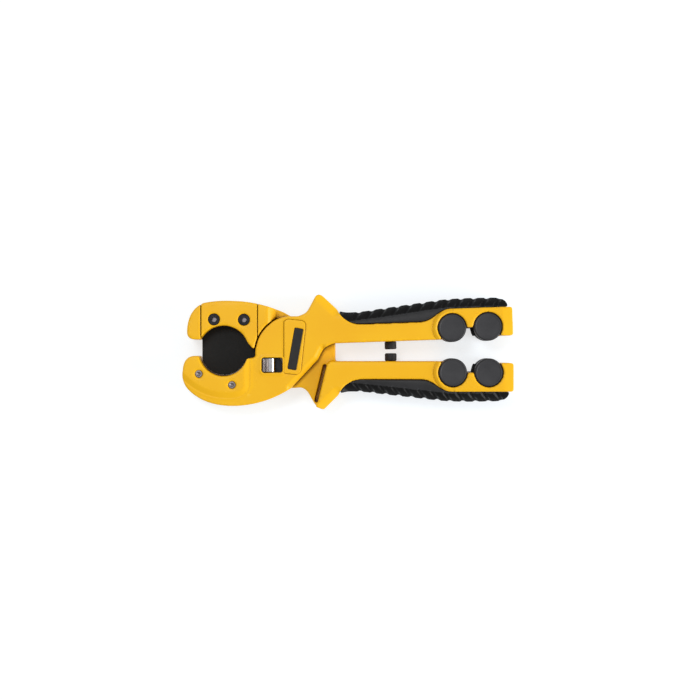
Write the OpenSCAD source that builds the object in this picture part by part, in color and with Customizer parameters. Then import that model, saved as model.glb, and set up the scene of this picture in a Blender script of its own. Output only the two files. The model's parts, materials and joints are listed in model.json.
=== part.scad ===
// Two-lever cutter for plastic pipe, with four guide rollers in its handles for
// slitting the sheath of conduit. It lies on its rear face. The origin is on the
// pivot axis in the rest plane, +X points along the handles and +Z out of the front.

/* [Body] */
// Thickness over the raised faces
body_t = 24; // [23:0.5:26]
// How far the raised faces stand over the plain ones
step_h = 1.2; // [0.8:0.2:1.6]
// Angle that the handles stand open when the tool lies closed, in degrees
splay = 2; // [1.5:0.5:3]

/* [Jaws] */
// Distance from the pivot to the middle of the pipe seat
seat_x = 43.8; // [43:0.2:44.4]
// Radius of the pipe seat in the upper jaw
seat_r = 16.5; // [15.5:0.25:16.75]
// Thickness of the pipe blade
blade_t = 1.2; // [1:0.1:1.4]
// Width of the pipe blade
blade_w = 36; // [35:0.5:36]

/* [Pivot] */
// Radius of the bolt's shoulder
pivot_r = 4; // [3.6:0.1:4]
// Radius of the round cheek over the pivot
boss_r = 23.5; // [23:0.1:23.6]
// Thickness of the tongue between the cheeks
tongue_t = 7; // [6:0.5:8]

/* [Rollers] */
// Radius of a guide roller
roller_r = 9; // [8.5:0.1:9.1]
// Distance between the two rollers in one handle
roller_pitch = 22.8; // [22:0.2:23.4]
// Distance from the pivot to the first roller
roller_x = 102; // [101:0.5:103]
// Height of a roller's axis over the handle's centre line
roller_y = 12.4; // [12:0.1:12.8]

/* [Grips] */
// Number of ribs along a grip
rib_count = 12; // [9:1:14]
// Radius of the valley between two ribs
rib_valley_r = 1.5; // [1:0.1:1.8]

/* [Latch] */
// Width of the latch window along the tool
window_w = 13.2; // [13:0.1:13.4]
// Height of the latch window across the tool
window_h = 9.4; // [9:0.2:9.6]

/* [Hidden] */
$fn = 64;

yellow = "#f5b81e";
black = "#2a2a2c";
steel = "#b9bcc0";

mid_z = body_t / 2;
face_z = body_t - step_h;              // plain front face
gap = 0.6;                             // room between the tongue and each cheek
tongue_lo = mid_z - tongue_t / 2;
tongue_hi = mid_z + tongue_t / 2;
cheek_lo = tongue_lo - gap;            // inner face of the rear cheek
cheek_hi = tongue_hi + gap;            // inner face of the front cheek
seat = [-seat_x, 0.95];
low_seat_r = seat_r - 0.8;
blade_x0 = -58;
blade_x1 = blade_x0 + blade_w;
blade_lo = mid_z - blade_t / 2;
blade_hi = mid_z + blade_t / 2;
slot_room = 0.3;                       // room on each side of the blade in its slot
sweep_r = 62.4;                        // farthest that the blade's corner gets from the pivot
rivets = [[-59.2, -13.3], [-38.2, -20.3]];
blade_holes = [[-49.6, 21.3], [-30.6, 21.1]];
shell_holes = [[21, 29], [48, 12.8], [84, 13.6], [135.8, 24.2]];
jaw_arc_r = boss_r + 0.6;              // the upper jaw's step round the cheek
web_lo = mid_z - 3;
web_hi = mid_z + 3;
pocket_r = roller_r + 0.3;
axle_r = 2;
sheath_t = 1;
handle_in = 5.2;                       // inner edge of a handle
handle_out = 17;                       // outer edge of its plain part
end_out = 24.6;                        // outer edge of its raised end
end_x = 140.6;
end_in = 6.3;
bumper_x = 62.8;
grip_sink = 0.6;                       // how far a grip lies under the raised faces
core_lo = mid_z - 5;
core_hi = mid_z + 5;
window = [-19.3, -12.4];               // lower left corner of the latch window
stud_r = 2.5;                          // pivot bolt's threaded end
nut_r = 4.6;
nut_z = 17.6;
cover_x = -5.3;                        // left edge of the cover, beside the latch window
jaw_tail_x = -10.6;                    // where the upper jaw's full thickness ends
rim_cut_r = 14;
deep_cut_r = 9.3;
notch_x = 9.6;
notch_y0 = 2.6;
notch_y1 = 8;

// A round corner: from a to c, pulled towards b.
function bend(a, b, c, n = 10) =
    [for (i = [0:n]) let (t = i / n) (1 - t) * (1 - t) * a + 2 * t * (1 - t) * b + t * t * c];

// Points on a circle of radius r about c, from angle a0 to a1.
function arc(c, r, a0, a1, n = 24) =
    [for (i = [0:n]) let (a = a0 + (a1 - a0) * i / n) c + r * [cos(a), sin(a)]];

// Where a circle of radius r about c has height y, on its left (-1) or right (1) side.
function at_height(c, r, y, side) = [c.x + side * sqrt(r * r - (y - c.y) * (y - c.y)), y];

function angle_of(c, p) = atan2(p.y - c.y, p.x - c.x);

module slab(z0, z1) translate([0, 0, z0]) linear_extrude(z1 - z0) children();

module wedge(a0, a1, r) polygon(concat([[0, 0]], arc([0, 0], r, a0, a1, 12)));

module round_box(lo, size, r) {
    translate(lo) union() {
        translate([r, 0]) square([size.x - 2 * r, size.y]);
        translate([0, r]) square([size.x, size.y - 2 * r]);
        for (x = [r, size.x - r], y = [r, size.y - r]) translate([x, y]) circle(r);
    }
}

// The upper handle is drawn turned by the splay, and the lower one mirrored.
module upper_side() rotate([0, 0, splay]) children();
module lower_side() mirror([0, 1, 0]) children();

// ---- handle, drawn above the centre line with its inner edge along +X ----

grip_edge = concat(
    bend([29.4, 26.7], [33.5, 17], [45, 16.95]),
    [[80, handle_out]],
    bend([83, 17.1], [87, 17.4], [91.5, 20.6]),
    bend([93, 21.7], [97, 24.6], [101, end_out])
);

guard_edge = concat(
    [[0, 20], [4, 23]],
    bend([6.6, 23.9], [9.6, 24.4], [11.6, 28]),
    bend([15.6, 34.9], [17.9, 38.4], [21.4, 34.7])
);

module handle_2d() {
    polygon(concat(
        guard_edge,
        grip_edge,
        [[end_x - 1.5, end_out]],
        bend([end_x - 1.5, end_out], [end_x, end_out], [end_x, end_out - 1.5], 4),
        bend([end_x, end_in + 1.5], [end_x, end_in], [end_x - 1.5, end_in], 4),
        [[roller_x + roller_pitch + 4, end_in], [roller_x + roller_pitch, roller_y],
         [roller_x, roller_y], [roller_x - 4, handle_in], [24.5, handle_in], [19, 9]]
    ));
}

// Where a handle's end stands over the plain face.
module end_zone_2d() {
    translate([roller_x, roller_y]) circle(12.2);
    translate([roller_x, -3]) square([60, 43]);
}

module at_rollers() {
    for (i = [0, 1]) translate([roller_x + i * roller_pitch, roller_y]) children();
}

// The handle's outline with its hubs for the rollers, and its plain faces cut down.
module handle_outline_2d() {
    handle_2d();
    at_rollers() circle(6);
}

module roller_pockets() {
    slab(-1, web_lo) at_rollers() circle(pocket_r);
    slab(web_hi, body_t + 1) at_rollers() circle(pocket_r);
}

// Cuts both faces down by step_h, except over its children.
module plain_faces() {
    for (z = [-1, face_z]) slab(z, z + 1 + step_h) difference() {
        translate([-100, -60]) square([280, 120]);
        children();
    }
}

module handle_bores() {
    at_rollers() cylinder(r = axle_r + 0.05, h = body_t);
    slab(mid_z - sheath_t / 2 - 0.1, mid_z + sheath_t / 2 + 0.1)
        translate([roller_x - 6.2, 0]) square([roller_pitch + 12.4, 17.4]);
    translate([bumper_x, handle_in - 1, mid_z]) rotate([-90, 0, 0]) cylinder(r = 2.53, h = 7.2);
}

// ---- grip ----

grip_outer = concat(
    bend([29.4, 26.7], [31.5, 24.8], [36, 24.6], 4),
    bend([36, 24.6], [44, 24.4], [54, 25.9], 6),
    [[76, 28.4]],
    bend([92, 30.2], [101, 31.2], [114, 31.1], 6),
    [[128, 30.9]],
    bend([130, 30.8], [137.6, 30.4], [137.9, end_out], 8)
);

module grip_2d() {
    polygon(concat(grip_outer, [for (i = [len(grip_edge) - 1:-1:0]) grip_edge[i]]));
}

// The lever's rib inside the grip.
module core_2d() {
    polygon([[40, 15], [44, 21], [76, 24.6], [92, 26.4], [114, 27.4], [130, 27], [134, 22], [90, 15]]);
}

function rib_place(i) =
    let (x = 43 + 90 * i / (rib_count - 1))
    x < 54 ? [x, 24.6 + (x - 40) * 0.095]
    : x < 100 ? [x, 25.95 + (x - 54) * 0.112]
    : [x, 31.15 - (x - 114) * (x - 114) * 0.0009];

module grip() {
    color(black) difference() {
        slab(grip_sink, body_t - grip_sink) grip_2d();
        for (i = [0:rib_count - 1])
            translate(concat(rib_place(i) + [0, 0.7], -1)) cylinder(r = rib_valley_r, h = body_t + 2, $fn = 32);
        slab(core_lo - 0.05, core_hi + 0.05) core_2d();
    }
}

module upper_grip() upper_side() grip();
module lower_grip() lower_side() grip();

// ---- outer lever: two cheeks with the upper handle and the lower jaw ----

low_left = at_height(seat, low_seat_r, -1.8, -1);
low_right = at_height(seat, low_seat_r, -3.7, 1);

module lower_jaw_2d() {
    polygon(concat(
        arc(seat, low_seat_r, angle_of(seat, low_left), angle_of(seat, low_right)),
        [[-23.4, -2.6]],
        arc([0, 0], boss_r, 186, 95, 18),
        [[4, 23.4], [12, 27], [26, 20], [36, 10]],
        bend([31, 6.9], [23, 6], [19.6, 2.4], 6),
        bend([19.6, 2.4], [18.2, 0], [16.4, -4], 4),
        [[-0.6, -22.2]],
        bend([-1.6, -23], [-17.5, -33], [-36, -33.7]),
        bend([-36, -33.7], [-56, -34.2], [-66.5, -22.8]),
        bend([-66.5, -22.8], [-70.6, -18], [-69.5, -11], 6),
        bend([-69.5, -11], [-68.8, -1.9], [-62, -1.8], 8)
    ));
}

// Where the lower jaw stands over the plain face.
module jaw_pad_2d() {
    polygon(concat(
        [[-27, 20], [-27, -20]],
        bend([-27, -20], [-27.4, -27.6], [-38, -28.6], 8),
        bend([-38, -28.6], [-56, -29.4], [-68, -18], 8),
        [[-74, -12], [-74, 20]]
    ));
}

// Room between the cheeks for the tongue and the parts of the inner lever that pass through.
module tongue_room_2d() {
    circle(boss_r + 1);
    wedge(45, 200, 33.5);
    wedge(-116, -10, 60);
    polygon([[15, 12], [15, -6], [29, -6], [29, 9.6]]);
}

// Room for the blade in the lower jaw.
module blade_room_2d() {
    intersection() {
        circle(sweep_r);
        union() {
            translate([seat.x, -0.5]) circle(18.2);
            translate([-66, -9]) square([46, 34]);
        }
    }
}

// The outer lever between two heights.
module cheek(z0, z1) {
    difference() {
        union() {
            slab(0, body_t) {
                lower_jaw_2d();
                upper_side() handle_outline_2d();
            }
            upper_side() slab(core_lo, core_hi) core_2d();
        }
        plain_faces() {
            jaw_pad_2d();
            upper_side() end_zone_2d();
        }
        slab(z1, body_t + 2) translate([-100, -60]) square([280, 120]);
        slab(-2, z0) translate([-100, -60]) square([280, 120]);
        upper_side() roller_pockets();
        slab(cheek_lo, cheek_hi) tongue_room_2d();
        slab(blade_lo - slot_room, blade_hi + slot_room) blade_room_2d();
        upper_side() handle_bores();
        for (p = rivets) translate(p) {
            cylinder(r = 1.82, h = body_t);
            translate([0, 0, body_t - 1.6]) cylinder(r = 2.5, h = 2);
            translate([0, 0, -0.4]) cylinder(r = 2.5, h = 2);
        }
        for (p = shell_holes) translate(p) {
            translate([0, 0, 3]) cylinder(r = 1.62, h = 17.2);
            translate([0, 0, -0.1]) cylinder(r = 2.95, h = 4.1);
        }
    }
}

module front_cheek() {
    color(yellow) difference() {
        cheek(mid_z, body_t);
        translate([0, 0, cheek_hi - 1]) cylinder(r = pivot_r + 0.02, h = 2);
        translate([0, 0, cheek_hi]) cylinder(r = stud_r + 0.05, h = 3);
        translate([0, 0, nut_z]) rotate([0, 0, 5]) cylinder(r = nut_r + 0.15, h = body_t, $fn = 6);
        slab(face_z - 0.8, body_t) cover_2d();
        slab(cheek_hi - 1, body_t) round_box(window, [window_w, window_h], 1.3);
        slab(cheek_hi - 1, cheek_hi + 1.1) latch_room_2d();
    }
}

module rear_cheek() {
    color(yellow) difference() {
        cheek(0, mid_z);
        cylinder(r = pivot_r + 0.02, h = mid_z);
        translate([0, 0, -1]) cylinder(r = 6.7, h = 5.7);
    }
}

module jaw_rivets() {
    color(steel) for (p = rivets) translate(p) difference() {
        union() {
            translate([0, 0, 0.6]) cylinder(r = 1.8, h = body_t - 1.2);
            translate([0, 0, 0.5]) cylinder(r = 2.4, h = 1.1);
            translate([0, 0, body_t - 1.6]) cylinder(r = 2.4, h = 1.1);
        }
        translate([0, 0, body_t - 1.3]) cylinder(r = 1, h = 2);
        translate([0, 0, -0.7]) cylinder(r = 1, h = 2);
    }
}

module shell_screws() {
    color(black) for (p = shell_holes) translate(p) difference() {
        union() {
            translate([0, 0, 3.5]) cylinder(r = 1.6, h = 16.2);
            translate([0, 0, 1.8]) cylinder(r = 2.75, h = 2.2);
        }
        translate([0, 0, 1.7]) cylinder(r = 1.5, h = 1.5, $fn = 6);
    }
}

module pivot_bolt() {
    color(steel) difference() {
        union() {
            translate([0, 0, step_h + 0.3]) cylinder(r = 6.5, h = 4.7 - step_h - 0.3);
            translate([0, 0, 4.6]) cylinder(r = pivot_r, h = cheek_hi + 0.9 - 4.6);
            translate([0, 0, cheek_hi]) cylinder(r = stud_r, h = nut_z + 4 - cheek_hi);
        }
        translate([0, 0, step_h]) cylinder(r = 2.9, h = 2.6, $fn = 6);
    }
}

module pivot_nut() {
    color(steel) difference() {
        translate([0, 0, nut_z]) rotate([0, 0, 5]) cylinder(r = nut_r, h = 4, $fn = 6);
        translate([0, 0, nut_z - 1]) cylinder(r = stud_r + 0.02, h = 6);
    }
}

module washer(z) {
    color("white") translate([0, 0, z]) difference() {
        cylinder(r = 9, h = gap - 0.1);
        translate([0, 0, -1]) cylinder(r = pivot_r + 0.1, h = 3);
    }
}

module front_washer() washer(tongue_hi + 0.05);
module rear_washer() washer(cheek_lo + 0.05);

// Slanted plate that closes the nut's pocket.
module cover_2d(room = 0) {
    intersection() {
        rotate([0, 0, -6]) round_box([-7.5 + room, -13.4 + room], [14.3 - 2 * room, 34.6 - 2 * room], 3.2);
        translate([cover_x + room, -20]) square([30, 60]);
    }
}

module pivot_cover() {
    color(yellow) difference() {
        slab(face_z - 0.8, face_z + 0.4) cover_2d(0.1);
        slab(face_z, body_t) label_2d();
    }
}

module label_2d() {
    rotate([0, 0, -10]) round_box([-1.2, -10.4], [5.6, 26.6], 0.8);
}

module label_strip() {
    color(black) slab(face_z + 0.02, face_z + 0.5) label_2d();
}

// ---- inner lever: upper jaw, tongue and lower handle in one moulding ----

module upper_jaw_2d() {
    difference() {
        polygon(concat(
            [[blade_x0, 8.4]],
            bend([-62, 8.5], [-66.8, 8.7], [-66.8, 13.6], 6),
            bend([-66.8, 13.6], [-66.3, 27.4], [-56.4, 31.7]),
            bend([-56.4, 31.7], [-48, 33.6], [-38, 33.1]),
            bend([-38, 33.1], [-22, 33], [-5.7, 26]),
            [[-1, 23.4], [-1, 10], [-23.6, 1.4]],
            [[-24.6, 2.2], [-28.2, 6.6], [-30, 10]],
            [[seat.x, 10], [blade_x0, 9]]
        ));
        translate(seat) circle(seat_r);
    }
}

module full_jaw_2d() {
    difference() {
        intersection() {
            upper_jaw_2d();
            translate([-80, 0]) square([80 + jaw_tail_x, 40]);
        }
        circle(jaw_arc_r);
    }
}

// Where the clamp plate and the blade sit.
module blade_seat_2d() {
    translate([blade_x0, -30]) square([blade_w, 70]);
}

module tongue_2d() {
    circle(boss_r - 1);
    difference() {
        upper_jaw_2d();
        translate([-80, 0]) square([80 - 22, 40]);
    }
    polygon(concat(
        [[0, -21.5], [3.6, -21.9]],
        bend([5, -22.1], [8.6, -22.6], [10.6, -26.4], 6),
        [[14, -32.6], [18, -30], [24, -6], [27.4, -6], [27.4, 7.4], [20, 8.6], [10, 8]]
    ));
}

module handle_root_2d() {
    polygon([[29, -4], [24, -4], [21.7, -8.5], [16.4, -30.6], [14.4, -34], [30, -40]]);
}

module lower_handle_2d() {
    intersection() {
        lower_side() handle_outline_2d();
        union() {
            handle_root_2d();
            translate([27.3, -40]) square([120, 45]);
        }
    }
}

// The bolt's stub stands clear of the tongue at rest, and slides into a notch in its rim.
// The deeper cut beside the notch keeps a latched bolt clear of an opened tongue.
module latch_cut_2d() {
    polygon(concat(
        arc([0, 0], 30, 264, 186, 12),
        arc([0, 0], rim_cut_r, 186, 180 + asin(notch_y0 / rim_cut_r), 3),
        [[-notch_x, -notch_y0], [-notch_x, -notch_y1]],
        arc([0, 0], rim_cut_r, 180 + asin(notch_y1 / rim_cut_r), 228, 4),
        arc([0, 0], deep_cut_r, 228, 264, 8)
    ));
}

module inner_lever() {
    color(yellow) difference() {
        union() {
            difference() {
                slab(0, body_t) full_jaw_2d();
                slab(blade_lo, body_t + 1) blade_seat_2d();
            }
            slab(tongue_lo, tongue_hi) tongue_2d();
            difference() {
                union() {
                    slab(0, body_t) lower_handle_2d();
                    lower_side() slab(core_lo, core_hi) core_2d();
                }
                plain_faces() lower_side() end_zone_2d();
                lower_side() roller_pockets();
            }
        }
        slab(blade_lo, body_t + 1) translate([blade_x0, -30]) square([blade_w + 0.1, 61.9]);
        translate([0, 0, -1]) cylinder(r = pivot_r + 0.05, h = body_t + 2);
        slab(mid_z + 0.4, tongue_hi + 1) latch_cut_2d();
        lower_side() handle_bores();
        for (p = blade_holes) translate(concat(p, 2)) cylinder(r = 3.02, h = body_t);
    }
}

module clamp_plate() {
    color(yellow) difference() {
        slab(blade_hi, body_t) intersection() {
            full_jaw_2d();
            translate([blade_x0 + 0.15, -30]) square([blade_w - 0.3, 70]);
        }
        for (p = blade_holes) translate(concat(p, 0)) {
            cylinder(r = 2.15, h = body_t + 1);
            translate([0, 0, body_t - 4.8]) cylinder(r = 3.8, h = 6);
        }
    }
}

// The edge is round, so that it meets the pipe at one point and slices outwards.
module pipe_blade_2d() {
    edge_r = seat_r + 0.7;
    intersection() {
        translate([blade_x0 + 0.05, -30]) square([blade_w - 0.1, 56.4]);
        union() {
            translate(seat) circle(edge_r);
            translate([-60, seat.y]) square([40, 30]);
            translate([-40, -7.6]) square([40, 10]);
        }
    }
}

module pipe_blade() {
    color("#1f2021") difference() {
        slab(blade_lo, blade_hi) difference() {
            pipe_blade_2d();
            circle(boss_r - 0.9);
        }
        for (p = blade_holes) translate(concat(p, 0)) cylinder(r = 2.15, h = body_t);
    }
}

module blade_screws() {
    color("#17181a") for (p = blade_holes) translate(concat(p, 0)) difference() {
        union() {
            translate([0, 0, 3.4]) cylinder(r = 2, h = body_t - 4.8 - 3.4);
            translate([0, 0, body_t - 4.8]) cylinder(r = 3.5, h = 4);
        }
        translate([0, 0, body_t - 3]) cylinder(r = 1.73, h = 3, $fn = 6);
    }
}

module screw_inserts() {
    color("#c9a24a") for (p = blade_holes) translate(concat(p, 2.6)) difference() {
        cylinder(r = 3, h = blade_lo - 2.6);
        translate([0, 0, -1]) cylinder(r = 2.02, h = body_t);
    }
}

// ---- handle pieces ----

module bumper() {
    color(black) translate([bumper_x, 0.15, mid_z]) rotate([-90, 0, 0]) {
        cylinder(r1 = 3.4, r2 = 3.8, h = 0.5);
        translate([0, 0, 0.5]) cylinder(r = 3.8, h = handle_in - 0.65);
        translate([0, 0, 1]) cylinder(r = 2.5, h = handle_in + 4.6);
    }
}

module upper_bumper() upper_side() bumper();
module lower_bumper() lower_side() bumper();

// A flat blade on the two axles, with a hooked tooth beside the aft roller.
module sheath_blade() {
    aft = [roller_x + roller_pitch, roller_y];
    color("#232427") slab(mid_z - sheath_t / 2, mid_z + sheath_t / 2) difference() {
        union() {
            at_rollers() circle(4.6);
            translate([roller_x, roller_y - 0.6]) square([roller_pitch, 4.8]);
            polygon([
                aft + [-11, 1], aft + [-10.7, -1.2], aft + [-10, -3.9], aft + [-9.2, -5.6],
                aft + [-7.4, -5.4], aft + [-3, -3]
            ]);
        }
        at_rollers() circle(axle_r + 0.1);
    }
}

module upper_sheath_blade() upper_side() sheath_blade();
module lower_sheath_blade() lower_side() sheath_blade();

// A disc's visible face is turned outwards, and its blind bore inwards.
module roller(index, front) {
    color("#3a3a3d") translate([roller_x + index * roller_pitch, roller_y, 0])
        if (front) translate([0, 0, body_t - 0.4]) mirror([0, 0, 1]) disc_solid();
        else translate([0, 0, 0.4]) disc_solid();
}

module disc_solid() {
    difference() {
        rotate_extrude() polygon([
            [0, 0], [roller_r - 0.6, 0], [roller_r, 0.6], [roller_r, 7.8],
            [roller_r - 0.5, 8.3], [0, 8.3]
        ]);
        translate([0, 0, 2]) cylinder(r = axle_r + 0.01, h = 10);
    }
}

module axle(index) {
    color(steel) translate([roller_x + index * roller_pitch, roller_y, 2.6])
        cylinder(r = axle_r, h = body_t - 5.2);
}

module upper_fore_roller_front() upper_side() roller(0, true);
module upper_fore_roller_rear() upper_side() roller(0, false);
module upper_fore_axle() upper_side() axle(0);
module upper_aft_roller_front() upper_side() roller(1, true);
module upper_aft_roller_rear() upper_side() roller(1, false);
module upper_aft_axle() upper_side() axle(1);
module lower_fore_roller_front() lower_side() roller(0, true);
module lower_fore_roller_rear() lower_side() roller(0, false);
module lower_fore_axle() lower_side() axle(0);
module lower_aft_roller_front() lower_side() roller(1, true);
module lower_aft_roller_rear() lower_side() roller(1, false);
module lower_aft_axle() lower_side() axle(1);

// ---- latch ----

// The sliding plate passes beside the pivot's shoulder.
module latch_plate_2d() {
    polygon([[-20.8, -13.9], [-6.6, -13.9], [-6.6, -5.2], [-8.8, -3], [-10.8, -1.5], [-20.8, -1.5]]);
}

module latch_room_2d() {
    polygon([[-21.5, -14.4], [-2, -14.4], [-2, -5], [-4.6, -2.4], [-6.4, -0.9], [-21.5, -0.9]]);
}

module latch_slider() {
    color(steel) translate([window.x + 0.3, window.y + 0.5, 0]) {
        rotate([90, 0, 0]) translate([0, 0, -(window_h - 1)]) linear_extrude(window_h - 1)
            polygon([[0, 17.25], [8.5, 17.25], [8.5, 18.4], [5.4, 22.4], [0, 22.4]]);
        for (i = [0:3]) translate([0.2 + i * 1.3, 0, 22.3]) cube([0.7, window_h - 1, 0.9]);
    }
}

module latch_bolt() {
    color(steel) {
        slab(cheek_hi + 0.15, cheek_hi + 1) latch_plate_2d();
        slab(mid_z + 0.8, cheek_hi + 0.2) translate([-18.4, -7.3]) square([4.2, 4]);
    }
}

front_cheek();
rear_cheek();
jaw_rivets();
shell_screws();
pivot_bolt();
pivot_nut();
front_washer();
rear_washer();
pivot_cover();
label_strip();
upper_grip();
upper_bumper();
upper_sheath_blade();
inner_lever();
clamp_plate();
pipe_blade();
blade_screws();
screw_inserts();
lower_grip();
lower_bumper();
lower_sheath_blade();
latch_slider();
latch_bolt();
upper_fore_roller_front();
upper_fore_roller_rear();
upper_fore_axle();
upper_aft_roller_front();
upper_aft_roller_rear();
upper_aft_axle();
lower_fore_roller_front();
lower_fore_roller_rear();
lower_fore_axle();
lower_aft_roller_front();
lower_aft_roller_rear();
lower_aft_axle();
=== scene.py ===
import json
import math

import bmesh
import bpy
import numpy as np
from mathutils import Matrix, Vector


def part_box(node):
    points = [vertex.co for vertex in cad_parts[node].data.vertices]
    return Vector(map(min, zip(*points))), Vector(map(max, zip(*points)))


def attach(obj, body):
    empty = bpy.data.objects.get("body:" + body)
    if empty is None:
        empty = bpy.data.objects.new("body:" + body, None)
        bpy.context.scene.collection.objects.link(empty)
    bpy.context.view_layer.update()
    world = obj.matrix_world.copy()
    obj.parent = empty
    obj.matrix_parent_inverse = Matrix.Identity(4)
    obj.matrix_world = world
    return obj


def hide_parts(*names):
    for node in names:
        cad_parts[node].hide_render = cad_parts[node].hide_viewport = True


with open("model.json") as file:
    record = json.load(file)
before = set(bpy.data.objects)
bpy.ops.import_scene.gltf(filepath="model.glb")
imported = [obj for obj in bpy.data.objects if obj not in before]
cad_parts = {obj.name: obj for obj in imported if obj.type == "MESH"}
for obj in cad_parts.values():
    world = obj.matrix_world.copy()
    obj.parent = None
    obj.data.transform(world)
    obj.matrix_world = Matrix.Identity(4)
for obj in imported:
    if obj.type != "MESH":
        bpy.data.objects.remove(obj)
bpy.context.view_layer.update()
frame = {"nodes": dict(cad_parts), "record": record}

import openvdb as vdb
from mathutils import Vector

# Shapes are worked out in millimetres, in the part's own frame, until a mesh is made.
# Materials, floor and lights are in metres.
MM = 0.001
BODY_T = 24.0                       # thickness over the raised faces
MID_Z = BODY_T / 2
FACE_Z = 22.8                       # plain front face
CELL = 0.4                          # grid step of the moulded pieces
BAND = 6                            # cells that a distance field reaches on each side

nodes = frame["nodes"]


def node_box(*names):
    """Lowest and highest corners of CAD nodes, in millimetres."""
    corners = np.array([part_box(n) for n in names], float) / MM
    return corners[:, 0].min(axis=0), corners[:, 1].max(axis=0)


def node_centre(name):
    lo, hi = node_box(name)
    return (lo + hi) / 2


# ---------------------------------------------------------------- distance fields


class Field:
    """A signed distance on a grid: negative inside. Array and grid share one corner."""

    def __init__(self, values, corner, cell):
        self.values, self.corner, self.cell = values, corner, cell

    def axes(self):
        """Coordinates along X, Y and Z, shaped to broadcast over the grid."""
        out = []
        for k in range(3):
            shape = [1, 1, 1]
            shape[k] = -1
            line = (self.corner[k] + np.arange(self.values.shape[k])) * self.cell
            out.append(line.reshape(shape))
        return out

    def like(self, values):
        return Field(values.astype(np.float32), self.corner, self.cell)


def node_polygons(name):
    mesh = nodes[name].data
    mesh.calc_loop_triangles()
    points = np.empty(len(mesh.vertices) * 3, np.float32)
    mesh.vertices.foreach_get("co", points)
    tris = np.empty(len(mesh.loop_triangles) * 3, np.int32)
    mesh.loop_triangles.foreach_get("vertices", tris)
    return points.reshape(-1, 3) / MM, tris.reshape(-1, 3).astype(np.uint32)


def level_set(points, tris, quads, cell):
    kwargs = {"transform": vdb.createLinearTransform(cell), "halfWidth": float(BAND)}
    if len(tris):
        kwargs["triangles"] = tris
    if len(quads):
        kwargs["quads"] = quads
    return vdb.FloatGrid.createLevelSetFromPolygons(points.astype(np.float32), **kwargs)


def read_grid(grid, corner, shape, cell):
    values = np.full(shape, BAND * cell, np.float32)
    grid.copyToArray(values, ijk=tuple(int(c) for c in corner))
    return Field(values, corner, cell)


def field_of(names, cell=CELL, margin=3.0):
    """The distance field of several CAD nodes joined."""
    lo, hi = node_box(*names)
    corner = np.floor((lo - margin) / cell).astype(int)
    shape = tuple(np.ceil((hi + margin) / cell).astype(int) - corner + 1)
    out = None
    for name in names:
        points, tris = node_polygons(name)
        one = read_grid(level_set(points, tris, [], cell), corner, shape, cell)
        out = one if out is None else out.like(np.minimum(out.values, one.values))
    return out


def polygons_of(field, iso=0.0, adaptivity=0.0):
    grid = vdb.FloatGrid(float(BAND * field.cell))
    grid.gridClass = vdb.GridClass.LEVEL_SET
    grid.copyFromArray(field.values, ijk=tuple(int(c) for c in field.corner))
    grid.transform = vdb.createLinearTransform(field.cell)
    return grid.convertToPolygons(isovalue=iso, adaptivity=adaptivity)


def offset(field, by):
    """Grows the shape by a length and measures its distances afresh."""
    points, tris, quads = polygons_of(field, by)
    grid = level_set(points, tris, quads, field.cell)
    return read_grid(grid, field.corner, field.values.shape, field.cell)


def rounded(field, convex, concave=0.0):
    """Rounds inner corners by concave and outer ones by convex."""
    if concave:
        field = offset(offset(field, concave), -concave)
    if convex:
        field = offset(offset(field, -convex), convex)
    return field


def cut(field, *others):
    values = field.values
    for other in others:
        values = np.maximum(values, -other)
    return field.like(values)


def keep(field, *others):
    values = field.values
    for other in others:
        values = np.maximum(values, other)
    return field.like(values)


def smooth_join(a, b, r):
    h = np.clip(0.5 + 0.5 * (b - a) / r, 0, 1)
    return b + (a - b) * h - r * h * (1 - h)


def smooth_cut(a, tool, r):
    """Takes a tool out of a shape and leaves soft edges."""
    return -smooth_join(-a, tool, r)


def capsule(axes, a, b, r):
    """Distance to a rod with round ends, between two points."""
    a, b = np.array(a, float), np.array(b, float)
    d = b - a
    t = sum((axes[k] - a[k]) * d[k] for k in range(3)) / float(d @ d)
    t = np.clip(t, 0, 1)
    return np.sqrt(sum((axes[k] - a[k] - t * d[k]) ** 2 for k in range(3))) - r


def box_2d(x, y, lo, hi, r):
    """Distance to a rectangle with round corners."""
    cx, cy = (lo[0] + hi[0]) / 2, (lo[1] + hi[1]) / 2
    qx = np.abs(x - cx) - (hi[0] - lo[0]) / 2 + r
    qy = np.abs(y - cy) - (hi[1] - lo[1]) / 2 + r
    outside = np.sqrt(np.maximum(qx, 0) ** 2 + np.maximum(qy, 0) ** 2)
    return outside + np.minimum(np.maximum(qx, qy), 0) - r


def bend(a, b, c, n=8):
    """A round corner from a to c, pulled towards b."""
    t = np.linspace(0, 1, n + 1)[:, None]
    a, b, c = (np.array(p, float) for p in (a, b, c))
    return list((1 - t) ** 2 * a + 2 * t * (1 - t) * b + t * t * c)


def path_distance(x, y, points):
    """Unsigned distance in the plane to an open path."""
    best = None
    for p, q in zip(points, points[1:]):
        dx, dy = q[0] - p[0], q[1] - p[1]
        if not dx and not dy:
            continue
        t = np.clip(((x - p[0]) * dx + (y - p[1]) * dy) / (dx * dx + dy * dy), 0, 1)
        d = np.hypot(x - p[0] - t * dx, y - p[1] - t * dy)
        best = d if best is None else np.minimum(best, d)
    return best


# ---------------------------------------------------------------- meshes


def mesh_object(name, points, faces, body, stands_for, material, smooth=True):
    mesh = bpy.data.meshes.new(name)
    mesh.from_pydata([tuple(p) for p in np.asarray(points, float) * MM], [], faces)
    mesh.validate()
    mesh.update()
    if smooth:
        mesh.polygons.foreach_set("use_smooth", [True] * len(mesh.polygons))
    piece = bpy.data.objects.new(name, mesh)
    bpy.context.scene.collection.objects.link(piece)
    piece.data.materials.append(MATERIALS[material]())
    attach(piece, body)
    if stands_for:
        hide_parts(*stands_for)
    return piece


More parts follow.
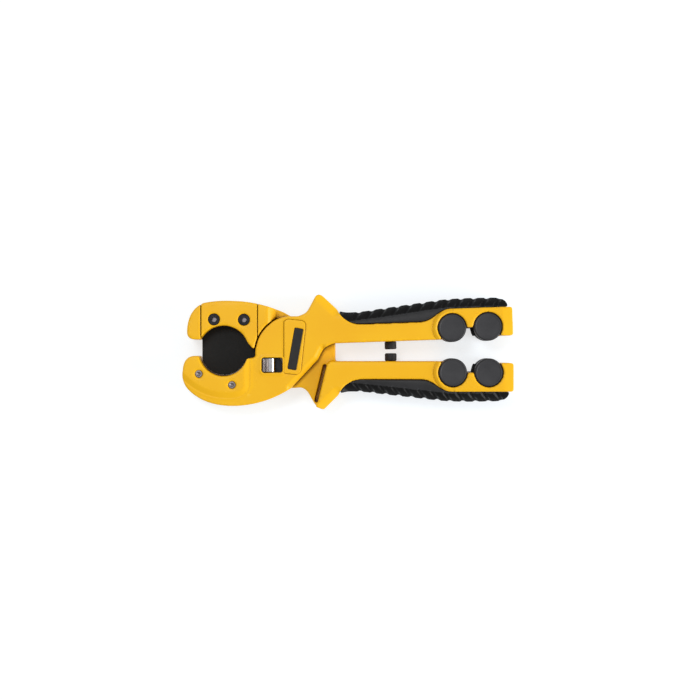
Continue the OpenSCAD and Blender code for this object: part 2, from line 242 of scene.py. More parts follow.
def field_object(name, field, body, stands_for, material, adaptivity=0.0):
    points, tris, quads = polygons_of(field, 0.0, adaptivity)
    faces = [tuple(int(i) for i in f[::-1]) for group in (quads, tris) for f in group]
    return mesh_object(name, points, faces, body, stands_for, material)


def lathe(profile, turns=64):
    """Points and faces of a closed ring profile of (radius, height) turned about Z."""
    points, faces = [], []
    n = len(profile)
    for i in range(turns):
        a = 2 * math.pi * i / turns
        points += [(r * math.cos(a), r * math.sin(a), z) for r, z in profile]
    for i in range(turns):
        j = (i + 1) % turns
        faces += [(i * n + k, j * n + k, j * n + k + 1, i * n + k + 1) for k in range(n - 1)]
    return points, faces


def soft_profile(points, r, steps=4):
    """Rounds the inner corners of a profile by a radius."""
    out = [points[0]]
    for p, q, s in zip(points, points[1:], points[2:]):
        p, q, s = (np.array(v, float) for v in (p, q, s))
        back, on = p - q, s - q
        reach = min(r, np.linalg.norm(back) * 0.45, np.linalg.norm(on) * 0.45)
        a = q + back / np.linalg.norm(back) * reach
        b = q + on / np.linalg.norm(on) * reach
        out += [tuple(v) for v in bend(a, q, b, steps)]
    return out + [points[-1]]


def turned(name, profile, places, body, stands_for, material, r=0.25, turns=72):
    """A lathe piece whose profile starts and ends on the axis, repeated at places in the plane."""
    ring, ring_faces = lathe(soft_profile(profile, r), turns)
    points, faces = [], []
    for place in places:
        first = len(points)
        points += [(x + place[0], y + place[1], z) for x, y, z in ring]
        faces += [tuple(first + i for i in face) for face in ring_faces]
    piece = mesh_object(name, points, faces, body, stands_for, material)
    return tidied(piece)


def tidied(piece):
    """Merges doubled vertices and turns all faces outwards."""
    bm = bmesh.new()
    bm.from_mesh(piece.data)
    bmesh.ops.remove_doubles(bm, verts=bm.verts, dist=1e-6)
    bmesh.ops.recalc_face_normals(bm, faces=bm.faces)
    bm.to_mesh(piece.data)
    bm.free()
    return piece


def bevelled(piece, width, segments=3, angle=35):
    """Softens edges. CAD nodes come with split vertices, so they are welded first.

    Where a mesh has very short edges, Blender clamps the width to almost nothing.
    """
    piece.modifiers.new("weld", "WELD").merge_threshold = 1e-6
    mod = piece.modifiers.new("edges", "BEVEL")
    mod.width, mod.segments, mod.limit_method = width * MM, segments, "ANGLE"
    mod.angle_limit = math.radians(angle)
    mod.harden_normals = True
    return piece


def prism(outline, z0, z1):
    """Points and faces of an upright prism."""
    n = len(outline)
    points = [(x, y, z) for z in (z0, z1) for x, y in outline]
    sides = [(i, (i + 1) % n, (i + 1) % n + n, i + n) for i in range(n)]
    return points, [tuple(range(n))[::-1], tuple(range(n, 2 * n))] + sides


# ---------------------------------------------------------------- materials


class Shader:
    """Builds one material's nodes."""

    def __init__(self, name, **constants):
        self.material = bpy.data.materials.new(name)
        self.material.use_nodes = True
        self.tree = self.material.node_tree
        self.base = self.tree.nodes["Principled BSDF"]
        for key, value in constants.items():
            self.base.inputs[key.replace("_", " ")].default_value = value
        self.place = self.tree.nodes.new("ShaderNodeTexCoord").outputs["Object"]

    def node(self, kind, **settings):
        made = self.tree.nodes.new("ShaderNode" + kind)
        for key, value in settings.items():
            setattr(made, key, value)
        return made

    def link(self, a, b):
        self.tree.links.new(a, b)

    def noise(self, scale, detail=3.0, rough=0.55, stretch=None):
        tex = self.node("TexNoise")
        tex.inputs["Scale"].default_value = scale
        tex.inputs["Detail"].default_value = detail
        tex.inputs["Roughness"].default_value = rough
        source = self.place
        if stretch:
            mapping = self.node("Mapping")
            mapping.inputs["Scale"].default_value = stretch
            self.link(source, mapping.inputs["Vector"])
            source = mapping.outputs["Vector"]
        self.link(source, tex.inputs["Vector"])
        return tex.outputs["Fac"]

    def cells(self, scale):
        tex = self.node("TexVoronoi")
        tex.inputs["Scale"].default_value = scale
        self.link(self.place, tex.inputs["Vector"])
        return tex.outputs["Distance"]

    def span(self, value, low, high, out_low, out_high):
        tool = self.node("MapRange")
        limits = {"From Min": low, "From Max": high, "To Min": out_low, "To Max": out_high}
        for key, number in limits.items():
            tool.inputs[key].default_value = number
        self.link(value, tool.inputs["Value"])
        return tool.outputs["Result"]

    def product(self, a, b):
        return self.maths("MULTIPLY", a, b)

    def total(self, a, b):
        return self.maths("ADD", a, b)

    def maths(self, kind, a, b):
        tool = self.node("Math", operation=kind)
        self.link(a, tool.inputs[0])
        if isinstance(b, (int, float)):
            tool.inputs[1].default_value = b
        else:
            self.link(b, tool.inputs[1])
        return tool.outputs[0]

    def mix(self, fac, a, b):
        tool = self.node("Mix", data_type="RGBA")
        self.link(fac, tool.inputs["Factor"])
        for socket, value in ((tool.inputs[6], a), (tool.inputs[7], b)):
            if isinstance(value, tuple):
                socket.default_value = (*value, 1)
            else:
                self.link(value, socket)
        return tool.outputs[2]

    def edges(self, low, high):
        """1 on convex edges, 0 elsewhere."""
        geometry = self.node("NewGeometry")
        return self.span(geometry.outputs["Pointiness"], low, high, 0, 1)

    def painted_crevice_shade(self, reach, closed, open_side):
        """Painted shade: 1 deep in a gap, 0 on an open face, found by ambient occlusion."""
        tool = self.node("AmbientOcclusion", samples=6)
        tool.inputs["Distance"].default_value = reach
        return self.span(tool.outputs["AO"], closed, open_side, 1, 0)

    def colour(self, value):
        self.link(value, self.base.inputs["Base Color"])

    def roughness(self, value):
        self.link(value, self.base.inputs["Roughness"])

    def bump(self, height, strength, distance):
        tool = self.node("Bump")
        tool.inputs["Strength"].default_value = strength
        tool.inputs["Distance"].default_value = distance
        self.link(height, tool.inputs["Height"])
        self.link(tool.outputs["Normal"], self.base.inputs["Normal"])


MATERIALS = {}


def once(make):
    """Lists a material by name. It is built the first time that a piece asks for it."""
    made = []

    def ask():
        if not made:
            made.append(make())
        return made[0]

    MATERIALS[make.__name__] = ask
    return ask


@once
def yellow_plastic():
    s = Shader("yellow_plastic", Specular_IOR_Level=0.26)
    cloud = s.noise(38, 4)
    flow = s.noise(16, 3, stretch=(0.5, 3, 1))
    body = s.mix(s.span(cloud, 0.3, 0.7, 0, 1), (0.80, 0.415, 0.003), (0.83, 0.455, 0.005))
    body = s.mix(s.span(flow, 0.4, 0.75, 0, 0.5), body, (0.78, 0.395, 0.003))
    worn = s.product(s.edges(0.52, 0.60), s.span(s.noise(220, 4), 0.4, 0.65, 0, 0.5))
    body = s.mix(worn, body, (0.90, 0.56, 0.05))
    # Painted shade: gaps, slits and the feet of steps are darkened to brown.
    s.colour(s.mix(s.painted_crevice_shade(0.0034, 0.50, 0.74), body, (0.10, 0.022, 0.001)))
    s.roughness(s.span(s.noise(900, 4), 0.3, 0.7, 0.36, 0.48))
    grain = s.total(s.noise(2600, 2), s.product(s.cells(1900), 0.6))
    s.bump(grain, 0.22, 0.00006)
    return s.material


def rubber(name, dark, light, rough, shine):
    s = Shader(name, Specular_IOR_Level=shine)
    body = s.mix(s.span(s.noise(60, 4), 0.3, 0.7, 0, 1), dark, light)
    dust = s.product(s.edges(0.51, 0.58), s.span(s.noise(400, 5), 0.4, 0.7, 0, 0.35))
    body = s.mix(dust, body, (0.045, 0.045, 0.047))
    # Painted shade: grooves and gaps are darkened towards black.
    s.colour(s.mix(s.painted_crevice_shade(0.004, 0.45, 0.95), body, (0.003, 0.003, 0.003)))
    s.roughness(s.span(s.noise(700, 4), 0.3, 0.7, rough, rough + 0.15))
    grain = s.total(s.cells(1500), s.noise(2400, 3))
    s.bump(grain, 0.35, 0.00009)
    return s.material


@once
def grip_rubber():
    return rubber("grip_rubber", (0.014, 0.014, 0.015), (0.022, 0.022, 0.024), 0.42, 0.3)


# Painted shade: a darker, less shiny copy of the grip rubber, for the band of ribs.
@once
def grip_rubber_shaded():
    return rubber("grip_rubber_shaded", (0.003, 0.003, 0.003), (0.006, 0.006, 0.006), 0.3, 0.13)


@once
def roller_black():
    s = Shader("roller_black", Specular_IOR_Level=0.28)
    body = s.mix(s.span(s.noise(90, 5), 0.3, 0.7, 0, 1), (0.026, 0.026, 0.029), (0.038, 0.038, 0.041))
    scuff = s.span(s.noise(500, 6, 0.7, stretch=(1, 6, 1)), 0.62, 0.8, 0, 0.4)
    s.colour(s.mix(scuff, body, (0.075, 0.075, 0.08)))
    s.roughness(s.span(s.noise(800, 4), 0.3, 0.7, 0.42, 0.6))
    s.bump(s.total(s.cells(1300), s.noise(3000, 2)), 0.3, 0.00008)
    return s.material


@once
def bumper_rubber():
    s = Shader("bumper_rubber", Specular_IOR_Level=0.25)
    cloud = s.span(s.noise(120, 4), 0.3, 0.7, 0, 1)
    s.colour(s.mix(cloud, (0.012, 0.012, 0.013), (0.022, 0.022, 0.024)))
    s.roughness(s.span(s.noise(900, 4), 0.3, 0.7, 0.5, 0.66))
    s.bump(s.noise(2600, 3), 0.3, 0.00007)
    return s.material


@once
def label_black():
    s = Shader("label_black", Specular_IOR_Level=0.2)
    cloud = s.span(s.noise(150, 4), 0.3, 0.7, 0, 1)
    s.colour(s.mix(cloud, (0.012, 0.011, 0.011), (0.022, 0.021, 0.02)))
    s.roughness(s.span(s.noise(900, 4), 0.3, 0.7, 0.35, 0.5))
    s.bump(s.noise(2600, 3), 0.2, 0.00005)
    return s.material


@once
def blade_steel():
    s = Shader("blade_steel", Specular_IOR_Level=0.13)
    body = s.mix(s.span(s.noise(50, 4), 0.3, 0.7, 0, 1), (0.006, 0.006, 0.006), (0.010, 0.010, 0.010))
    rub = s.span(s.noise(300, 6, 0.7, stretch=(8, 1, 1)), 0.62, 0.8, 0, 0.4)
    s.colour(s.mix(rub, body, (0.03, 0.03, 0.031)))
    s.roughness(s.span(s.noise(700, 5), 0.3, 0.7, 0.42, 0.58))
    s.bump(s.noise(1800, 4, stretch=(6, 1, 1)), 0.15, 0.00004)
    return s.material


def metal(name, dark, light, rough, brush, coat=0.0):
    s = Shader(name, Metallic=1.0, Coat_Weight=coat)
    s.colour(s.mix(s.span(s.noise(140, 5), 0.3, 0.7, 0, 1), dark, light))
    s.roughness(s.span(s.noise(600, 5, stretch=brush), 0.3, 0.7, rough - 0.07, rough + 0.09))
    s.bump(s.noise(2200, 4, stretch=brush), 0.16, 0.00004)
    return s.material


@once
def ground_edge():
    return metal("ground_edge", (0.36, 0.36, 0.37), (0.5, 0.5, 0.51), 0.28, (12, 1, 1))


@once
def rivet_steel():
    return metal("rivet_steel", (0.19, 0.17, 0.175), (0.28, 0.255, 0.26), 0.42, (1, 1, 1))


@once
def pivot_steel():
    return metal("pivot_steel", (0.42, 0.42, 0.43), (0.55, 0.55, 0.56), 0.34, (1, 1, 1))


@once
def screw_steel():
    s = Shader("screw_steel", Metallic=0.85)
    cloud = s.span(s.noise(300, 5), 0.3, 0.7, 0, 1)
    s.colour(s.mix(cloud, (0.016, 0.016, 0.018), (0.034, 0.034, 0.037)))
    s.roughness(s.span(s.noise(900, 5), 0.3, 0.7, 0.18, 0.32))
    s.bump(s.noise(2400, 3), 0.15, 0.00004)
    return s.material


@once
def latch_chrome():
    return metal("latch_chrome", (0.56, 0.55, 0.56), (0.70, 0.69, 0.70), 0.22, (1, 14, 1))


# Painted shade: a darker, browner copy of the latch chrome, for the slider's fine ribs.
@once
def latch_chrome_shaded():
    return metal("latch_chrome_shaded", (0.20, 0.17, 0.16), (0.32, 0.29, 0.28), 0.34, (1, 14, 1))


@once
def insert_brass():
    return metal("insert_brass", (0.52, 0.36, 0.13), (0.66, 0.47, 0.2), 0.38, (1, 1, 6))


@once
def washer_nylon():
    s = Shader("washer_nylon", Specular_IOR_Level=0.4)
    s.colour(s.mix(s.span(s.noise(200, 4), 0.3, 0.7, 0, 1), (0.66, 0.65, 0.6), (0.76, 0.75, 0.71)))
    s.roughness(s.span(s.noise(900, 4), 0.3, 0.7, 0.42, 0.56))
    s.bump(s.noise(2400, 3), 0.2, 0.00005)
    return s.material


@once
def floor_white():
    glow = {"Emission_Color": (1, 1, 1, 1), "Emission_Strength": 0.66}
    s = Shader("floor_white", Specular_IOR_Level=0.1, **glow)
    cloud = s.span(s.noise(3, 2), 0.3, 0.7, 0, 1)
    s.colour(s.mix(cloud, (0.36, 0.405, 0.45), (0.38, 0.425, 0.47)))
    s.roughness(s.span(s.noise(40, 3), 0.3, 0.7, 0.75, 0.85))
    return s.material


SLOTS = {s["node"]: s["material_slot"] for s in frame["record"]["subparts"]}


# ---------------------------------------------------------------- outer lever

OUTER = "outer_lever"
INNER = "inner_lever"
SPLAY = math.radians(2)             # the upper handle stands open by this much
UPPER, LOWER = 1, -1
STEP = BODY_T - FACE_Z
ROOF_PITCH = 0.9                    # keeps the distance to a sloping roof near its true value
NOWHERE = 9.0                       # a distance beyond the reach of the slopes that use it
MESH_ADAPTIVITY = 0.01
PART_GAP = 0.06                     # half the width of the line between the cheeks
FORE_X, ROLLER_Y = 102.0, 12.4
ZONE_R = 12.2                       # the raised end begins on this circle round the fore roller
ZONE_SLOPE = 1.7
FOOT_R = 0.42                       # groove at the foot of the raised end
FOOT_AWAY = 0.3
END_X = 140.6
END_SLOPE, END_DROP = 6.2, 1.1
GUARD_SLOPE, GUARD_DROP, GUARD_POWER = 5.5, 2.2, 1.4
PAD_SLOPE = 3.4
RIDGE_SLOPE, RIDGE_DROP, RIDGE_POWER = 3.4, 3.2, 1.6
WINDOW_LENGTH = 12.9                # from the slider's left end at rest
WINDOW_CORNER = 1.3
RIM_AWAY, RIM_HALF, RIM_REACH = 0.7, 0.35, 3
PAD_EDGE = [(-27, 20), (-27, -20)] + bend((-27, -20), (-27.4, -27.6), (-38, -28.6)) \
    + bend((-38, -28.6), (-56, -29.4), (-68, -18)) + [(-74, -12)]
RIDGE = bend((19.6, 2.4), (18.2, 0), (16.4, -4)) + [(-0.6, -22.2)]
GUARD_BACK = [(18.9, 37.6), (21.4, 34.7), (29.4, 26.7)]


def handle_frame(x, y, side):
    """Coordinates along a handle and outwards from the gap between the handles."""
    if side == UPPER:
        return x * math.cos(SPLAY) + y * math.sin(SPLAY), y * math.cos(SPLAY) - x * math.sin(SPLAY)
    return x + 0 * y, -y + 0 * x


def both_faces(field, roof):
    """Lowers the front face to a roof, and the rear face by as much."""
    z = field.axes()[2]
    return keep(field, (z - roof) * ROOF_PITCH, (BODY_T - roof - z) * ROOF_PITCH)


def slope_edges(field, away, width, drop, top, power=1.0):
    """Turns an edge into a slope that falls by drop over width."""
    slope = top - drop * np.clip(1 - away / width, 0, 1) ** power
    return both_faces(field, np.where(away < width, slope, BODY_T))


def handle_details(field, side):
    """Bevels round the raised end, a sloping tip and a soft back of the guard."""
    x, y, z = field.axes()
    u, v = handle_frame(x, y, side)
    from_roller = np.hypot(u - FORE_X, v - ROLLER_Y)
    near = (u > FORE_X - ZONE_R - 1) & (u < FORE_X + 1) & (v > -2)
    in_zone = np.where(near, ZONE_R - from_roller, NOWHERE)
    field = slope_edges(field, np.maximum(in_zone, 0), ZONE_SLOPE, STEP, BODY_T)
    foot = np.where(near, np.abs(from_roller - ZONE_R - FOOT_AWAY), NOWHERE)
    for face in (FACE_Z, STEP):
        field = cut(field, np.hypot(foot, z - face) - FOOT_R)
    field = slope_edges(field, np.maximum(END_X - u, 0) + 0 * v, END_SLOPE, END_DROP, BODY_T)
    back = path_distance(u[:, :, 0], v[:, :, 0], GUARD_BACK)[:, :, None]
    return slope_edges(field, back, GUARD_SLOPE, GUARD_DROP, FACE_Z, GUARD_POWER)


def window_rim(x, y, z):
    """A low frame round the latch window, and the distance to the window itself."""
    lo, hi = node_box("latch_slider")
    left, right = lo[0] - 0.3, lo[0] + WINDOW_LENGTH
    hole = box_2d(x, y, (left, lo[1] - 0.5), (right, hi[1] + 0.5), WINDOW_CORNER)
    ring = np.abs(hole - RIM_AWAY) - RIM_HALF
    return np.hypot(np.maximum(ring, 0), z - FACE_Z) - RIM_HALF, hole


def make_outer():
    whole = rounded(field_of(["front_cheek", "rear_cheek"]), 0.8, 0.4)
    x, y, z = whole.axes()
    flat_x, flat_y = x[:, :, 0], y[:, :, 0]
    pad = path_distance(flat_x, flat_y, PAD_EDGE)[:, :, None]
    whole = slope_edges(whole, pad, PAD_SLOPE, STEP, BODY_T)
    ridge = path_distance(flat_x, flat_y, RIDGE)[:, :, None]
    whole = slope_edges(whole, ridge, RIDGE_SLOPE, RIDGE_DROP, FACE_Z, RIDGE_POWER)
    whole = handle_details(whole, UPPER)
    rim, hole = window_rim(x, y, z)
    raised = smooth_join(whole.values, rim, 0.4)
    at_rim = (hole > 0) & (hole < RIM_REACH) & (z > MID_Z)
    whole = whole.like(np.where(at_rim, raised, whole.values))
    for name, side in (("front_cheek", 1), ("rear_cheek", -1)):
        half = keep(whole, PART_GAP - side * (z - MID_Z) + 0 * x)
        field_object(name + "_shell", half, OUTER, [name], "yellow_plastic", MESH_ADAPTIVITY)


make_outer()


# ---------------------------------------------------------------- inner lever

JOINT_GAP = 0.16                    # half the width of the lines round the clamp plate
SLIT = [(20.6, -8.4), (15.2, -30.4)]  # channel at the foot of the lower guard
SLIT_HALF, SLIT_FLOOR, SLIT_BLEND = 1.2, 0.9, 0.15
SCREW_HEAD_R = 3.5
SCREW_SHANK_R = 2.15
SCREW_RECESS_R = 3.8
SCREW_RECESS_Z = BODY_T - 4.8
SCREW_FLARE = 0.4
STUB = ((-18.4, -7.3), (-14.2, -3.3))  # the latch bolt's stub at rest, seen from the front
STUB_ROOM = 0.5
LATCH_TRAVEL = 4.0
JAW_TAIL_X = -10.6                  # right end of the upper jaw's full thickness
JAW_TAIL_Y = 15                     # the tail's slope lies above this
TAIL_SLOPE, TAIL_DROP, TAIL_POWER = 5.0, 5.5, 1.3
CLAMP_SHIFT = 0.075                 # the lines at the clamp plate's sides run this far outside its box
CLAMP_BOTTOM_Y = -8


def screw_places():
    """Centres of the two blade screws, from the box that holds them both."""
    lo, hi = node_box("blade_screws")
    r = SCREW_HEAD_R
    return [(lo[0] + r, hi[1] - r), (hi[0] - r, lo[1] + r)]


def screw_recesses(field, holes):
    """Cuts the clamp plate's recesses and their flared mouths again, after rounding."""
    z = field.axes()[2]
    for hole in holes:
        recess = np.maximum(hole - SCREW_RECESS_R, SCREW_RECESS_Z - z)
        field = cut(field, recess, hole - SCREW_SHANK_R + 0 * z)
        flare = hole - SCREW_RECESS_R - SCREW_FLARE - (z - BODY_T)
        field = cut(field, np.maximum(flare, BODY_T - 1 - z))
    return field


def latch_notch(field):
    """The notch that the latch bolt's stub slides along."""
    x, y, z = field.axes()
    low = (STUB[0][0], STUB[0][1] - STUB_ROOM)
    high = (STUB[1][0] + LATCH_TRAVEL + 0.45, STUB[1][1] + STUB_ROOM)
    notch = box_2d(x, y, low, high, 0.2)
    return cut(field, np.maximum(notch, MID_Z + 0.45 - z))


def guard_slit(field):
    x, y, z = field.axes()
    slit = path_distance(x[:, :, 0], y[:, :, 0], SLIT)[:, :, None]
    tool = np.maximum(slit - SLIT_HALF, SLIT_FLOOR - np.abs(z - MID_Z))
    return field.like(smooth_cut(field.values, tool, SLIT_BLEND))


def clamp_inside(field):
    """Distance into the clamp plate's space, negative outside it."""
    x, y, z = field.axes()
    lo, hi = node_box("clamp_plate")
    left, right, under = x - (lo[0] - CLAMP_SHIFT), (hi[0] + CLAMP_SHIFT) - x, z - lo[2]
    inside = np.minimum(np.minimum(left, right), under)
    return np.where(y + 0 * x + 0 * z > CLAMP_BOTTOM_Y, inside, -NOWHERE)


def make_inner():
    whole = field_of(["inner_lever", "clamp_plate"])
    x, y, z = whole.axes()
    holes = [np.hypot(x - px, y - py) for px, py in screw_places()]
    for hole in holes:
        sides = np.maximum(hole - SCREW_RECESS_R - 0.2, z - BODY_T)
        plug = np.maximum(sides, SCREW_RECESS_Z - 1 - z)
        whole = whole.like(np.minimum(whole.values, plug))
    whole = rounded(whole, 0.9, 0.4)
    whole = screw_recesses(whole, holes)
    whole = latch_notch(whole)
    whole = handle_details(whole, LOWER)
    tail = np.where(y > JAW_TAIL_Y, JAW_TAIL_X - x, 99.0) + 0 * z
    whole = slope_edges(whole, np.maximum(tail, 0), TAIL_SLOPE, TAIL_DROP, BODY_T, TAIL_POWER)
    whole = guard_slit(whole)
    inside = clamp_inside(whole)
    lever, plate = keep(whole, inside + JOINT_GAP), keep(whole, JOINT_GAP - inside)
    for name, field in (("inner_lever", lever), ("clamp_plate", plate)):
        field_object(name + "_body", field, INNER, [name], "yellow_plastic", MESH_ADAPTIVITY)


make_inner()


# ---------------------------------------------------------------- grips

RIBS = 12
RIB_BAND = 5.4                      # how far the ribs, and the painted-shade rubber on them, reach in from the outer edge
RIB_R = 1.15                        # radius of the grooves between the ribs
RIB_BLEND = 1.0
GRIP_TOP = BODY_T - 0.6
GRIP_DROP = 5.5                     # how much thinner the outer edge is, on each face
GRIP_SLOPE = 10.5
GRIP_POWER = 2.2


def rib_place(x):
    """The grip's outer edge, in handle coordinates."""
    if x < 54:
        return 24.6 + (x - 40) * 0.095
    if x < 100:
        return 25.95 + (x - 54) * 0.112
    return 31.15 - (x - 114) ** 2 * 0.0009


def grip_half(away):
    """Half the sleeve's thickness at a distance from its outer edge."""
    return GRIP_TOP - MID_Z - GRIP_DROP * (1 - away / GRIP_SLOPE) ** GRIP_POWER


def make_grip(name, body, side):
    """A crowned sleeve whose outer edge is wound like a rope."""
    grip = rounded(field_of([name], 0.35), 0.8)
    x, y, z = grip.axes()
    u, v = handle_frame(x, y, side)
    edge = [(q, rib_place(q)) for q in np.linspace(36, 137, 40)]
    away = path_distance(u[:, :, 0], v[:, :, 0], edge)[:, :, None]
    grip = slope_edges(grip, away, GRIP_SLOPE, GRIP_DROP, GRIP_TOP, GRIP_POWER)
    values = grip.values
    axes = (u, v, z)
    rim_z = grip_half(0) - 0.9
    for i in range(RIBS):
        at = 43 + 90 * i / (RIBS - 1)
        out = rib_place(at)
        for face in (1, -1):
            rim = (at + 0.9, out + 1.0, MID_Z + face * rim_z)
            shoulder = (at - 0.4, out - 1.0, MID_Z + face * (grip_half(1.0) + 0.6))
            end = (at - 3.6, out - 5.2, MID_Z + face * (grip_half(5.2) + 0.1))
            for start, stop in ((rim, shoulder), (shoulder, end)):
                values = smooth_cut(values, capsule(axes, start, stop, RIB_R), RIB_BLEND)
        low, high = ((at + 0.9, out + 1.0, MID_Z + face * rim_z) for face in (-1, 1))
        values = smooth_cut(values, capsule(axes, low, high, RIB_R), RIB_BLEND)
    title = name + "_sleeve"
    field = grip.like(values)
    piece = field_object(title, field, body, [name], "grip_rubber", MESH_ADAPTIVITY)
    # The band of ribs takes the painted-shade copy of the rubber.
    piece.data.materials.append(MATERIALS["grip_rubber_shaded"]())
    for face in piece.data.polygons:
        px, py = face.center[0] / MM, face.center[1] / MM
        fu, fv = handle_frame(px, py, side)
        if fv > rib_place(fu) - RIB_BAND:
            face.material_index = 1


make_grip("upper_grip", OUTER, UPPER)
make_grip("lower_grip", INNER, LOWER)


# ---------------------------------------------------------------- small pieces


def soft_node(name, body, material, cell, r, title):
    """A small CAD node with rounded edges."""
    field_object(title, rounded(field_of([name], cell, 1.5), r), body, [name], material, 0.005)


def make_bumpers():
    for name, body in (("upper_bumper", OUTER), ("lower_bumper", INNER)):
        soft_node(name, body, "bumper_rubber", 0.2, 0.6, name + "_plug")


def make_cover():
    soft_node("pivot_cover", OUTER, "yellow_plastic", 0.2, 0.25, "pivot_cover_plate")
    soft_node("label_strip", OUTER, "label_black", 0.12, 0.16, "label_strip_inlay")


def make_rollers():
    """Front and rear discs at the four stations, with a bevelled rim round a sunk face."""
    front = [
        (0, 21.6), (2.01, 21.6), (2.01, 15.3), (8.5, 15.3), (9, 15.8), (9, 22.7), (8.2, 23.6),
        (7.75, 23.6), (7.5, 23.36), (0, 23.36),
    ]
    for side in ("upper", "lower"):
        for place in ("fore", "aft"):
            station = f"{side}_{place}_roller"
            for end in ("front", "rear"):
                name = f"{station}_{end}"
                profile = front if end == "front" else [(r, BODY_T - z) for r, z in front]
                centre = node_centre(name)
                turned(name + "_disc", profile, [centre[:2]], station, [name], "roller_black")


def make_rivets():
    lo, hi = node_box("jaw_rivets")
    r = 2.4
    places = [(lo[0] + r, hi[1] - r), (hi[0] - r, lo[1] + r)]
    half = [
        (1.8, 12), (1.8, 22.4), (2.4, 22.4), (2.4, 23.15), (2.15, 23.45),
        (1.45, 23.5), (1.0, 23.2), (0.5, 22.75), (0, 22.7),
    ]
    profile = [(q, BODY_T - z) for q, z in half[::-1]] + half[1:]
    turned("jaw_rivets_dimpled", profile, places, OUTER, ["jaw_rivets"], "rivet_steel", 0.12)


def make_blade():
    """The pipe blade, thinned to a ground edge along its round side."""
    lo, hi = node_box("pipe_blade")
    seat = (-43.8, 0.95)
    edge_r = 17.2
    grind = 2.2
    ground_below = seat[1] - 5
    blade = field_of(["pipe_blade"], 0.2, 1.6)
    x, y, z = blade.axes()
    reach = edge_r - np.hypot(x - seat[0], y - seat[1])
    reach = np.where(y + 0 * z < ground_below, reach, NOWHERE)
    edge_half, grown = 0.04, 0.56
    half = edge_half + grown * np.clip(reach / grind, 0, 1)
    blade = keep(blade, (np.abs(z - MID_Z) - half) * 0.95)
    piece = field_object("pipe_blade_ground", blade, INNER, ["pipe_blade"], "blade_steel", 0.005)
    piece.data.materials.append(MATERIALS["ground_edge"]())
    for face in piece.data.polygons:
        px, py = face.center[0] / MM, face.center[1] / MM
        from_seat = math.hypot(px - seat[0], py - seat[1])
        if py < ground_below and from_seat > edge_r - grind:
            face.material_index = 1


SOCKET_DEPTH = 3                    # from the raised face down to the sockets' floor
SOCKET_R = 1.8
RIB_COUNT = 4                       # fine ribs of the thumb slider
RIB_PITCH = 0.92
RIBS_END = 3.98


def make_blade_screws():
    """Socket heads whose socket floors take a brighter metal, as a painted glint."""
    points, tris = node_polygons("blade_screws")
    faces = [tuple(int(i) for i in t) for t in tris]
    name = "blade_screws"
    piece = mesh_object(name + "_sockets", points, faces, INNER, [name], "screw_steel", False)
    tidied(piece)
    # Painted glint: the socket floors take the brighter rivet metal, which stands in for the glint
    # inside each socket.
    piece.data.materials.append(MATERIALS["rivet_steel"]())
    for face in piece.data.polygons:
        px, py, pz = face.center / MM
        from_axis = min(math.hypot(px - cx, py - cy) for cx, cy in screw_places())
        if abs(pz - BODY_T + SOCKET_DEPTH) < 0.05 and from_axis < SOCKET_R:
            face.material_index = 1
    bevelled(piece, 0.22)


def make_latch():
    """The thumb slider: fine ribs at the left, in a darker copy of the chrome that paints their shade,
    and a bright ramp into the window at the right.
    """
    lo, hi = node_box("latch_slider")
    ribs = []
    for i in range(RIB_COUNT):
        centre = 0.62 + RIB_PITCH * i
        for k in range(9):
            a = math.pi * k / 8
            ribs.append((centre - 0.36 * math.cos(a), 22.3 + 0.75 * math.sin(a)))
    ramp = bend((4.2, 22.5), (7.6, 22.5), (8.2, 19.4), 10)
    outline = [(0.1, 17.3), (0.1, 22.2)] + ribs + [(4.0, 22.25)] + ramp + [(8.4, 18.6), (8.4, 17.3)]
    points, faces = prism(outline, 0.0, hi[1] - lo[1])
    points = [(lo[0] + px, lo[1] + pz, py) for px, py, pz in points]
    name = "latch_slider"
    piece = mesh_object(name + "_thumb", points, faces, "latch", [name], "latch_chrome", False)
    tidied(piece)
    bevelled(piece, 0.16, 3, 30)
    # The ribs take the painted-shade copy of the chrome.
    piece.data.materials.append(MATERIALS["latch_chrome_shaded"]())
    for face in piece.data.polygons:
        if face.center.x / MM < lo[0] + RIBS_END:
            face.material_index = 1


make_bumpers()
make_cover()
make_rollers()
make_rivets()
make_blade()
make_blade_screws()
make_latch()


# ---------------------------------------------------------------- carried-over CAD nodes

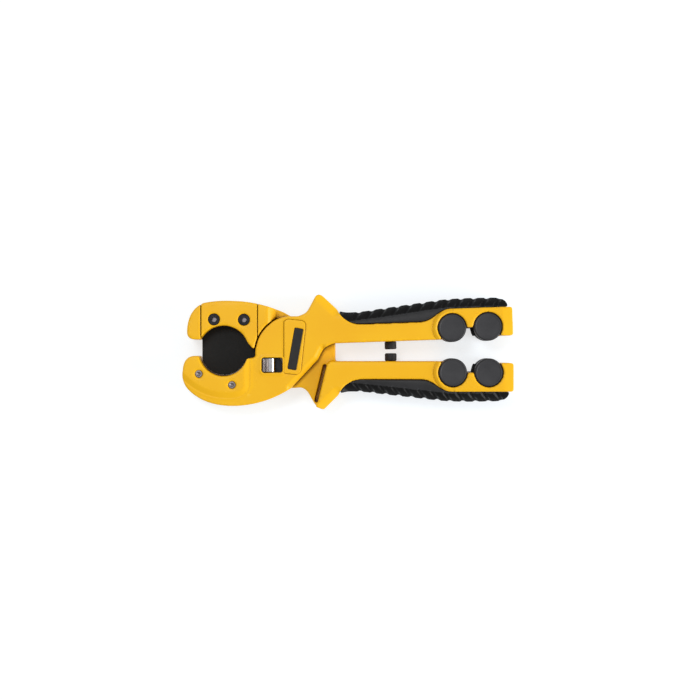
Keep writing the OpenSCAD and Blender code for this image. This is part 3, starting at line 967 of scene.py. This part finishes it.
SOFT_EDGES = {
    "shell_screws": 0.2, "pivot_bolt": 0.25, "pivot_nut": 0.25,
    "front_washer": 0.08, "rear_washer": 0.08, "screw_inserts": 0.12, "latch_bolt": 0.12,
    "upper_sheath_blade": 0.1, "lower_sheath_blade": 0.1,
}

for name, node in nodes.items():
    node.data.materials.clear()
    node.data.materials.append(MATERIALS[SLOTS[name]]())
    if name in SOFT_EDGES or name.endswith("_axle"):
        bevelled(node, SOFT_EDGES.get(name, 0.2))


# ---------------------------------------------------------------- floor, light, camera

VIEW_WIDTH = 443.5                  # width of what the camera sees at the front face
VIEW_DISTANCE = 1000.0
VIEW_CENTRE = (36.7, 1.9)
SENSOR = 36
LIGHT_AIM = (0.03, 0, 0)


def make_stage():
    bpy.ops.mesh.primitive_plane_add(size=4, location=(0, 0, -0.0001))
    floor = bpy.context.object
    floor.name = "floor"
    floor.data.materials.append(floor_white())


def area_light(name, at, size, power):
    data = bpy.data.lights.new(name, "AREA")
    data.shape, data.size, data.energy = "DISK", size, power
    lamp = bpy.data.objects.new(name, data)
    lamp.location = Vector(at)
    towards = Vector(LIGHT_AIM) - Vector(at)
    lamp.rotation_euler = towards.to_track_quat("-Z", "Y").to_euler()
    bpy.context.scene.collection.objects.link(lamp)


def make_light():
    world = bpy.data.worlds.new("studio")
    world.use_nodes = True
    background = world.node_tree.nodes["Background"]
    background.inputs["Color"].default_value = (1, 1, 1, 1)
    background.inputs["Strength"].default_value = 0.58
    bpy.context.scene.world = world
    bpy.context.scene.view_settings.view_transform = "Standard"
    area_light("key", (-0.33, 0.46, 1.3), 0.45, 6.4)
    area_light("side", (1.1, -0.2, 0.38), 0.8, 12)


def make_camera():
    data = bpy.data.cameras.new("camera")
    data.sensor_width = SENSOR
    data.lens = SENSOR * VIEW_DISTANCE / VIEW_WIDTH
    data.clip_start, data.clip_end = 0.05, 20
    camera = bpy.data.objects.new("camera", data)
    height = BODY_T + VIEW_DISTANCE
    camera.location = (VIEW_CENTRE[0] * MM, VIEW_CENTRE[1] * MM, height * MM)
    bpy.context.scene.collection.objects.link(camera)
    bpy.context.scene.camera = camera


make_stage()
make_light()
make_camera()
